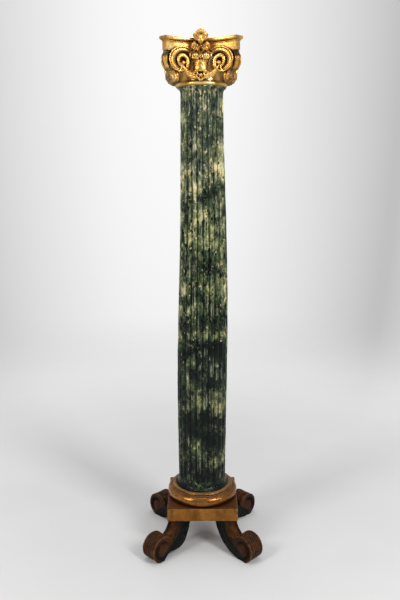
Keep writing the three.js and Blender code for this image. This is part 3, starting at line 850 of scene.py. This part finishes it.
def on_face(s, above, z):
    """Places on the volutes' face, which bulges back towards the corners."""
    s, above, z = (np.asarray(v, float) for v in (s, above, z))
    return np.stack(np.broadcast_arrays(s, -(FACE_MIDDLE + FACE_RISE * s * s + above), z), -1)


def spiral(turn, inset, above):
    """A point of the volute after its spiral has turned by an angle in degrees, inset from its outer edge."""
    turn = np.asarray(turn, float)
    reach = along(VOLUTE_RADII, turn.ravel() / VOLUTE_STEP).reshape(turn.shape) - inset
    angle = VOLUTE["start"] - np.radians(turn)
    return on_face(VOLUTE["s"] + reach * np.cos(angle), above, VOLUTE["z"] + reach * np.sin(angle))


def across_corner(points):
    """The mirror image of the right volute's points on the next side of the capital."""
    return np.stack([-points[..., 1], -points[..., 0], points[..., 2]], -1)


def scroll_block():
    """The block between the two volutes of a corner, as deep as the floor of their channels."""
    turn = np.linspace(0, 360, 97)[:-1]
    front = spiral(turn, 1.0, -SCROLL_FLOOR)
    side = across_corner(front)
    share = np.linspace(0, 1, 15)[:, None, None]
    rings = front + (side - front) * share
    middle = on_face(VOLUTE["s"], -SCROLL_FLOOR, VOLUTE["z"])
    inward = unit(np.array([middle, across_corner(middle)]).mean(0) - rings)
    rings = rings + inward * (4.5 * np.sin(math.pi * share) ** 0.7)
    return fan_loft(rings, middle, across_corner(middle))


# The channel's section as inset in mm, inset as a share of the way to the roll, and height
CHANNEL = [
    (0, 0, -24), (0, 0, -1.5), (0.8, 0, 1.2), (2.6, 0, 2.4), (4.5, 0, 1.2), (5.4, 0, -2.6), (6.6, 0, -5.4),
    (8.4, 0, -3.4), (5.0, 0.28, -2.6), (2.0, 0.55, -4.2), (0, 0.80, -9), (0, 0.9, -16), (0, 1.0, -20),
    (0, 1.0, -24),
]
CHANNEL_WIDTH = [(-8, 22), (29, 22), (75, 26), (119, 26), (165, 22), (205, 12), (240, 7)]


def channel():
    """The outer ridge and the hollow between it and the roll, as one section carried along the spiral."""
    fixed, share, above = np.array(CHANNEL, float).T
    stations = []
    for turn in range(CHANNEL_WIDTH[0][0], CHANNEL_WIDTH[-1][0] + 1, 4):
        width = between(CHANNEL_WIDTH, turn)
        inset = np.minimum(fixed + share * width, width)
        stations.append(spiral(np.full(len(CHANNEL), float(turn)), inset, above))
    return loft(np.array(stations))


def volute():
    """One volute: a fine outer ridge over a hollow channel, and a thick roll that winds in to the eye."""
    s, z, radii = smooth(ROLL, ROLL_STEPS).T
    path = on_face(VOLUTE["s"] + s, between(ROLL_RISE, np.arange(ROLL_STEPS)), VOLUTE["z"] + z)
    roll = tube(path, radii, FRONT, 14, 1.25)
    eye = ball(on_face(VOLUTE["s"] + 0.5, -4.0, VOLUTE["z"] - 1.5), (8.3, 7.5, 8.3))
    s, z, radii = np.array(STEM, float).T
    stem = bar(on_face(VOLUTE["s"] + s, -1.0, VOLUTE["z"] + z), radii)
    return [channel(), roll, eye, stem]


# The leafy bulb under a front and a back corner: its middle as reach and height, and its half axes along
# reach, side and height. Its tiers are the rise of their leaflets' middles and their number
BULB = {"front": (140, 1770, 18.5, 18.5, 22.5), "back": (143, 1787, 16, 16, 17)}
BULB_TIERS = [(0.9, 6), (0.4, 8), (-0.15, 9), (-0.7, 8), (-1.15, 5)]
LEAFLET = [(0.5, 0.94), (0.15, 1.04), (-0.2, 1.10), (-0.45, 1.10)]
SPINE = [
    (152, 1853, 8.5), (164, 1845, 11.5), (170, 1831, 11), (168, 1815, 9), (161, 1799, 8.5), (150, 1785, 9.5),
]
FILL = [(138, 1850, 10), (148, 1825, 14), (147, 1800, 14), (140, 1778, 12)]


def at_corner(reach, side, z):
    return CORNER_OUT * reach + CORNER_SIDE * side + UP * z


def corner_bar(line, count, out):
    """A bar in a corner, through rows of reach, height and radius."""
    return bar([at_corner(reach, 0, z) for reach, z, _ in line], [row[2] for row in line], count, out)


def bulb(end):
    """Overlapping leaflets in rings round an egg shape, which point down and stand off at their tips."""
    reach, z, deep, wide, tall = BULB[end]
    centre = at_corner(reach, 0, z)
    points, faces = ball((0, 0, 0), (deep * 0.93, wide * 0.93, tall * 0.95))
    shapes = [(centre + at_corner(points[:, :1], points[:, 1:2], points[:, 2:]), faces)]
    for tier, (middle, count) in enumerate(BULB_TIERS):
        for k in range(count):
            turn = 2 * math.pi * (k + 0.5 * (tier % 2)) / count
            way = at_corner(math.cos(turn), math.sin(turn), 0)
            size = deep * math.cos(turn) ** 2 + wide * math.sin(turn) ** 2
            path = []
            for offset, stand in LEAFLET:
                rise = max(middle + offset, -1.5)
                level = UP * tall * math.sin(rise) * min(stand, 1.06)
                path.append(centre + way * size * math.cos(rise) * stand + level)
            widths = [3.5, 6.4, 6.8, 4.0]
            shapes.append(leaf(path, widths, 4.2, way, lobes=2, cut=0.15, count=18, blunt=0.4, rib=0.45))
    return shapes


def corner_leaf(end):
    """The smooth leaf back that fills a corner between its volutes, and the leafy bulb that it ends in."""
    return [corner_bar(SPINE, 60, CORNER_OUT), corner_bar(FILL, 24, CORNER_SIDE), *bulb(end)]


# The basket's outline as height, half width and how far it stands out from its back
BASKET_BACK = 68
BASKET = [
    (1785.6, 14, 26), (1786.2, 21, 32), (1787.6, 24.5, 35.5), (1790.4, 26.8, 37.5), (1795, 27.6, 38.4),
    (1801, 27.6, 38.4), (1803.6, 27, 38), (1804.6, 25.4, 36.4), (1806, 25.4, 36.4), (1807, 28.2, 39.2),
    (1811, 28.4, 39.4), (1812, 26.4, 37.4), (1813, 26.4, 37.4), (1814, 28.2, 39.0), (1816, 28.0, 38.8),
    (1817, 26.4, 37.2), (1823.4, 28.4, 38), (1826, 31, 36.5), (1830, 33, 34.5), (1840, 35, 33.5),
    (1846, 36, 34), (1847.6, 39, 39), (1849, 40, 40.5), (1851, 40, 40.5), (1852.4, 39, 39), (1854, 37, 35),
    (1858, 40, 36),
]
BEADS = {"count": 15, "z": 1820.4, "half": 27.4, "out": 37.8, "size": 2.6}
EGG = {"s": 16.2, "out": 105, "z": 1838.5, "size": (8.8, 9.0, 10.4)}
END_EGG = {"s": 34, "out": 95, "z": 1839.0, "size": (6.0, 6.5, 10.5)}
SHELL = {"out": 104, "rise": 1, "half": 12.4, "round": 2.5, "height": 13.2}
DART = [(0, 105, 1847), (0, 108, 1840), (0, 108.5, 1832), (0, 106.5, 1824)]
DART_SIDE = [(5.5, 105, 1846), (4.5, 107, 1838), (7.5, 106.5, 1829), (11, 105, 1825)]
BLADE = [(26, 103, 1847), (27, 105, 1839), (28, 104, 1831), (26.5, 102, 1825)]
END_TIP = [(36, 94, 1842), (39, 96, 1845), (42, 96, 1848)]


def half_round(half, depth, z, turn):
    """Places round the front of the basket at some angles."""
    out = BASKET_BACK + depth * np.sin(turn) ** 0.7
    return np.stack(np.broadcast_arrays(half * np.cos(turn), -out, z), -1)


def basket():
    """The bowl with its fillets and beads, and over it the row of four eggs, with shells and darts."""
    turn = np.linspace(0, math.pi, 40)
    shapes = [loft(np.array([half_round(half, depth, z, turn) for z, half, depth in BASKET]))]
    for k in range(BEADS["count"]):
        place = half_round(BEADS["half"], BEADS["out"], BEADS["z"], math.pi * (k + 0.5) / BEADS["count"])
        shapes.append(ball(place, (BEADS["size"],) * 3, steps=8))
    for hand in (-1, 1):
        for egg in (EGG, END_EGG):
            shapes.append(ball((egg["s"] * hand, -egg["out"], egg["z"]), egg["size"]))
        turn = np.radians([160, 190, 230, 270, 310, 350, 380])
        x = EGG["s"] * hand + SHELL["half"] * np.cos(turn)
        y = SHELL["round"] * np.sin(turn) - SHELL["out"]
        z = EGG["z"] + SHELL["rise"] + SHELL["height"] * np.sin(turn)
        shapes.append(bar(np.column_stack([x, y, z]), [1.6, 2.1, 2.3, 2.3, 2.3, 2.1, 1.6]))
    shapes.append(leaf(both_hands(DART)[1], [4.6, 4.4, 3.4, 1.2], 5.0, count=24, rib=0.5))
    shapes += [leaf(path, [2.2, 3.6, 3.0, 1.0], 4.0, count=24, rib=0.4) for path in both_hands(BLADE)]
    shapes += [leaf(path, [2.4, 3.0, 1.8], 4.0, count=20, blunt=0.4) for path in both_hands(END_TIP)]
    shapes += [bar(path, [1.2, 1.6, 1.6, 1.1], 24) for path in both_hands(DART_SIDE)]
    return shapes


# The ornaments stand this far left of the middle of each side
ORNAMENT_LEFT = 1.5

# The fleuron's lobes as angle, reach and half width, and how far they stand out by their share of the reach
FLEURON = {"z": 1898, "out": 96}
FLEURON_LOBES = [
    (90, 25, 12.5), (48, 22, 7.5), (132, 22, 7.5), (12, 25.5, 9.5), (168, 25.5, 9.5), (-25, 23.5, 8.5),
    (205, 23.5, 8.5),
]
LOBE_RISE = [(0.1, 12), (0.45, 16), (0.75, 15.5), (1.0, 9)]
FLEURON_BODY = [(15, -4), (19, 4), (19, 13), (14, 22), (10, 27)]
DRILLED_EYE = (0, -112, 1906)


def fleuron():
    """The leafy flower on the abacus: rounded lobes over a body that narrows to a point."""
    z, out = FLEURON["z"], FLEURON["out"]
    shapes = [ball((0, -out - 5, z - 4), (15, 11, 16)), ball((0, -out + 2, z - 3), (14, 8, 18))]
    for angle, reach, half in FLEURON_LOBES:
        c, s = reach * math.cos(math.radians(angle)), reach * math.sin(math.radians(angle))
        path = [(share * c, -out - rise, z + share * s) for share, rise in LOBE_RISE]
        widths = [half * 0.6, half * 0.9, half, half * 0.8]
        shapes.append(leaf(path, widths, 5.5, count=30, blunt=0.45, rib=0.45))
    path = [(0, -out - rise, z - drop) for rise, drop in FLEURON_BODY]
    widths = [9, 14, 13, 8, 3]
    shapes.append(leaf(path, widths, 6.0, lobes=3, cut=0.15, count=40, blunt=0.25, rib=0.4, veins=0.35))
    return shapes


# Leaves of the calyx and the garland, as places along the face, outwards and up, half widths, and lobes
CALYX = [
    (((6, 103, 1869), (17, 110, 1870), (27, 110, 1865), (33, 105, 1858)), (6, 8, 8, 5), 2),
    (((5, 104, 1867), (13, 111, 1863), (20, 111, 1857), (23, 106, 1852)), (5, 6.5, 6.5, 4), 2),
    (((2, 105, 1864), (6, 110, 1860), (9, 110, 1855), (10, 106, 1851)), (4, 5, 5, 3.5), 0),
    (((10, 100, 1877), (20, 105, 1877), (28, 104, 1873), (34, 100, 1868)), (4, 6, 5.5, 3), 2),
]
GARLAND = [
    (((63, 106, 1808), (56, 106, 1796), (47, 102, 1786), (34, 97, 1780), (20, 94, 1779)), (3, 6, 8, 7, 3), 4),
    (((52, 98, 1782), (37, 95, 1773), (20, 92, 1768), (6, 91, 1770)), (2.5, 6, 6, 2.5), 3),
    (((-5, 90, 1758), (5, 92, 1764), (17, 93, 1771), (29, 93, 1778)), (2.5, 4.2, 4.8, 2.5), 0),
]
CURL = [(32, 96, 1781), (24, 96, 1785), (15, 96, 1785), (11, 96, 1780), (14, 96, 1775), (19, 96, 1777)]
ROSETTE = {"z": 1776, "petals": 6, "reach": 4.6}


def spray(table, thickness, **settings):
    """The leaves of a table, on both hands."""
    return [
        leaf(path, widths, thickness, lobes=lobes, **settings)
        for points, widths, lobes in table for path in both_hands(points)
    ]


def calyx():
    """The leaves that spread and droop under the fleuron."""
    return [ball((0, -95, 1864), (24, 10, 11)), *spray(CALYX, 6.0, cut=0.18, count=36, blunt=0.4, rib=0.5)]


def garland():
    """The spray under the basket: crossing and sweeping leaves, and curls beside a rosette."""
    shapes = spray(GARLAND, 5.5, cut=0.25, count=44, blunt=0.2)
    shapes += [bar(path, [2.0, 3.0, 3.4, 3.2, 2.8, 2.2]) for path in both_hands(CURL)]
    for k in range(ROSETTE["petals"]):
        a = 2 * math.pi * k / ROSETTE["petals"]
        c, s = ROSETTE["reach"] * math.cos(a), ROSETTE["reach"] * math.sin(a)
        shapes.append(ball((c, -93, ROSETTE["z"] + s), (3.0, 3.5, 3.0), steps=8))
    return [*shapes, ball((0, -96, ROSETTE["z"]), (2.6, 3.0, 2.6), steps=8)]


def scroll_mesh(end):
    """A front or back corner of the capital: two volutes, and the leaf between them with its aged darker
    tone, a painted shadow at its top, and painted shade in the volutes' channels.
    """
    volutes = volute()
    volutes += [(across_corner(points), faces) for points, faces in volutes]
    mesh = carved("scroll", [scroll_block(), *volutes, *corner_leaf(end)], 1.5, 2)
    points = points_of(mesh)
    z = points[:, 2]
    leafy = smoothstep(24, 17, np.abs(points @ CORNER_SIDE)) * smoothstep(116, 124, points @ CORNER_OUT)
    # Aged darker tone on the leafy bulb, and a painted shadow at the leaf's top under the abacus
    leaf_tone_and_top_shadow = leafy * (0.9 * smoothstep(1801, 1792, z) + 1.2 * smoothstep(1822, 1836, z))
    x, y = points[:, 0], -points[:, 1]
    s = np.where(y > x, x, y)
    above = np.where(y > x, y, x) - FACE_MIDDLE - FACE_RISE * s**2
    turned_in = np.hypot(s - VOLUTE["s"], z - VOLUTE["z"]) < 42
    # Painted shade: the volutes' channels go darker the deeper they lie
    channel_shade = np.maximum(0.30 * smoothstep(0, -2, above), smoothstep(-7, -11, above))
    attribute(mesh, "glaze", np.maximum(leaf_tone_and_top_shadow, turned_in * channel_shade))
    hand_worked(mesh, [(22, 0.5), (7, 0.3)], 41)
    return mesh


def side_mesh():
    """The ornament in the middle of one side, with the eye drilled in its fleuron and painted shade in that
    hole.
    """
    mesh = carved("ornament", [*basket(), *fleuron(), *calyx(), *garland()], 1.3, 1)
    points = points_of(mesh)
    hole = np.linalg.norm(points - DRILLED_EYE, axis=1)
    set_points(mesh, points - FRONT * (8 * np.exp(-((hole / 4.0) ** 2)))[:, None])
    flower = 0.38 * smoothstep(1874, 1880, points[:, 2])
    # A darker tone on the fleuron's top, and painted shade in the drilled eye
    attribute(mesh, "glaze", np.maximum(flower, smoothstep(5.0, 2.5, hole)))
    hand_worked(mesh, [(12, 0.35), (5, 0.25)], 51)
    return mesh


# The abacus's profile as height and how far it stands out, over the reach of its middle and its corners
ABACUS = {"middle": 79, "corner": 130, "corner_share": 0.88, "edge": 119.3, "edge_share": -0.18}
ABACUS_LEVELS = [
    (1852, 0.0), (1852.4, 0.6), (1853.4, 1.0), (1860, 1.0), (1868, 1.0), (1876, 1.0), (1879.4, 1.0),
    (1880.4, 1.6), (1881, 2.8), (1882, 2.9), (1882.6, 3.3), (1883.6, 4.4), (1884.8, 6.2), (1885.8, 8.0),
    (1886.6, 10.2), (1887, 11.0), (1888, 11.6), (1888.6, 12.2), (1889.4, 12.8), (1892, 13.0), (1895, 12.9),
    (1896.4, 12.4), (1897, 11.2),
]


def abacus_mesh():
    """The slab with four hollow sides and cut corners. Ever smaller rings close its top with even faces."""
    rings = []
    t = np.linspace(-1, 1, 41)
    for z, out in ABACUS_LEVELS:
        middle = ABACUS["middle"] + out
        corner = ABACUS["corner"] + ABACUS["corner_share"] * out
        edge = ABACUS["edge"] + ABACUS["edge_share"] * out
        side = np.column_stack([t * edge, -middle - (corner - middle) * t * t, np.full(len(t), float(z))])
        rings.append(np.vstack([rotated(side, k) for k in range(4)]))
    rings += [rings[-1] * (share, share, 1) for share in (0.9, 0.75, 0.6, 0.45, 0.3, 0.15)]
    mesh = mesh_of("abacus", [loft(np.array(rings))])
    # Painted shade: the cut corners, which face away, are darkened
    diagonal = np.abs(points_of(mesh)[:, :2]).sum(1)
    attribute(mesh, "glaze", smoothstep(242, 252, diagonal) * 0.75)
    hand_worked(mesh, [(30, 0.5), (8, 0.2)], 61)
    return mesh


# The bell's outline over its astragal, as radius and height
ASTRAGAL = {"radius": 92.5, "roll": 7}
BELL = [
    [82.5, 1758.6], [80.6, 1760], [80.2, 1764], [80.6, 1772], [82, 1782], [85, 1792], [88, 1800], [88, 1856],
]


def bell_mesh():
    """The bell and the astragal under it, with a painted shade line under the astragal's roll, where it meets
    the shaft.
    """
    roll = ASTRAGAL["roll"]
    outline = [[6, SHAFT_TOP], [60, SHAFT_TOP]]
    outline += arc((ASTRAGAL["radius"] - roll, SHAFT_TOP + roll), roll, -90, 90, 18)
    outline += [*BELL, [6, BELL[-1][1]]]
    mesh = mesh_of("bell", [turned(outline, 160)])
    # Painted shade under the astragal's roll
    attribute(mesh, "glaze", smoothstep(1749, 1746, points_of(mesh)[:, 2]) * 0.7)
    hand_worked(mesh, [(30, 0.5), (9, 0.25)], 71)
    return mesh


def base():
    """The feet, the plinth and the base ring."""
    walnut = wood("walnut_glaze")
    whole, cut = foot_mesh(FOOT_INNER, 21), foot_mesh(CUT_FOOT_INNER, 31)
    for k, name in enumerate(["foot_right_back", "foot_left_back", "foot_left_front", "foot_right_front"]):
        mesh = (cut if name == CUT_FOOT else whole).copy()
        set_points(mesh, rotated(points_of(mesh), k + 0.5))
        piece(name + "_carved", mesh, walnut, name)
    piece("plinth_board", plinth_mesh(), wood("golden_brown_glaze"), "plinth")
    piece("base_ring_turned", base_ring_mesh(), gilding("bronze_gold"), "base_ring", 50)


def capital():
    """The abacus, the bell, and the four corners and sides that are turned round them."""
    gold = gilding("burnished_gold")
    piece("capital_abacus", abacus_mesh(), gold, "capital", 50)
    piece("capital_bell", bell_mesh(), gilding("bell_gold"), "capital", 50)
    scrolls = {end: scroll_mesh(end) for end in BULB}
    ornament = side_mesh()
    corners = ["front_right", "back_right", "back_left", "front_left"]
    for k, (corner, side) in enumerate(zip(corners, ["front", "right", "back", "left"])):
        mesh = scrolls[corner.split("_")[0]].copy()
        set_points(mesh, rotated(points_of(mesh), k))
        piece("capital_scroll_" + corner, mesh, gold, "capital")
        mesh = ornament.copy()
        set_points(mesh, rotated(points_of(mesh) - [ORNAMENT_LEFT, 0, 0], k))
        piece("capital_ornament_" + side, mesh, gold, "capital")


# Camera, floor and light

CAMERA = {"place": (0, -2.405, 1.4268), "turn": (90 - 10.713, 0.2, 0.1337), "lens": 38.57, "sensor": 36}
FLOOR_RADIUS = 12
FLOOR_TONES = ((0.655, 0.655, 0.66), (0.67, 0.67, 0.675))

# From the column outwards the floor starts to glow and then fades into the backdrop: reach and value
GLOW = (0.45, 2.6, 0.0, 0.30)
FADE = (1.0, 4.5, 1.0, 0.0)

# The backdrop is brightest this way from the camera. Its tones go by how near a direction is to that way,
# with the height of the direction counted less
BRIGHT_WAY = (-0.045, 1.0, 0.06)
FLATTEN = (1.0, 1.0, 0.3)
BACKDROP_TONES = [(0.900, 0.80), (0.943, 0.52), (0.985, 0.82), (1.0, 0.965)]
ROOM_LIGHT = (1.0, 0.99, 0.98)
ROOM_STRENGTH = 0.42

# Name, place, aim, width, height and power
LAMPS = [
    ("right_softbox", (1.9, -2.1, 2.5), (0, 0, 1.1), 0.8, 1.6, 66),
    ("left_softbox", (-2.1, -1.7, 2.3), (0, 0, 1.0), 0.7, 1.5, 38),
    ("top_softbox", (0.0, 0.4, 3.6), (0, 0, 0.5), 2.0, 2.0, 36),
]


def set_camera():
    camera = linked("camera", bpy.data.cameras.new("camera"))
    camera.location = CAMERA["place"]
    camera.rotation_euler = [math.radians(angle) for angle in CAMERA["turn"]]
    camera.data.lens = CAMERA["lens"]
    camera.data.sensor_width = CAMERA["sensor"]
    camera.data.clip_end = 100
    bpy.context.scene.camera = camera


def lay_floor():
    bpy.ops.mesh.primitive_circle_add(vertices=96, radius=FLOOR_RADIUS, fill_type="NGON")
    floor = bpy.context.object
    floor.name = "floor"
    paper = Finish("paper")
    reach = paper.vector("LENGTH", {0: paper.place}, "Value")
    grain = paper.step(paper.noise(3.0, 2.0), 0.3, 0.7)
    paper.finish(
        Base_Color=paper.blend(grain, *FLOOR_TONES), Roughness=0.9, Specular_IOR_Level=0.1,
        Emission_Color=(1, 1, 1, 1), Emission_Strength=paper.step(reach, *GLOW),
        Alpha=paper.step(reach, *FADE))
    floor.data.materials.append(paper.material)


def hang_backdrop():
    """Even light from all round, and a pale backdrop that the camera alone sees."""
    world = bpy.data.worlds.new("studio")
    bpy.context.scene.world = world
    world.use_nodes = True
    room = Nodes(world.node_tree)
    wall = world.node_tree.nodes["Background"]
    flat = room.vector("MULTIPLY", {0: room.node("TexCoord").outputs["Generated"], 1: FLATTEN})
    way = room.vector("NORMALIZE", {0: flat})
    near = room.vector("DOT_PRODUCT", {0: way, 1: Vector(BRIGHT_WAY).normalized()}, "Value")
    room.put(room.ramp(near, BACKDROP_TONES), wall.inputs["Color"])
    light = room.node("Background", {"Color": (*ROOM_LIGHT, 1), "Strength": ROOM_STRENGTH})
    seen = room.node("LightPath").outputs["Is Camera Ray"]
    choice = room.node("MixShader", {0: seen, 1: light.outputs[0], 2: wall.outputs[0]})
    room.put(choice.outputs[0], world.node_tree.nodes["World Output"].inputs["Surface"])


def set_lamps():
    for name, place, aim, width, height, power in LAMPS:
        lamp = linked(name, bpy.data.lights.new(name, "AREA"))
        lamp.data.shape = "RECTANGLE"
        lamp.data.size = width
        lamp.data.size_y = height
        lamp.data.energy = power
        lamp.location = place
        lamp.rotation_euler = (Vector(aim) - Vector(place)).to_track_quat("-Z", "Y").to_euler()


set_camera()
lay_floor()
hang_backdrop()
set_lamps()
bpy.context.scene.view_settings.view_transform = "Standard"

base()
piece("shaft_fluted", shaft_mesh(), marble_paint(), "shaft", 50)
capital()
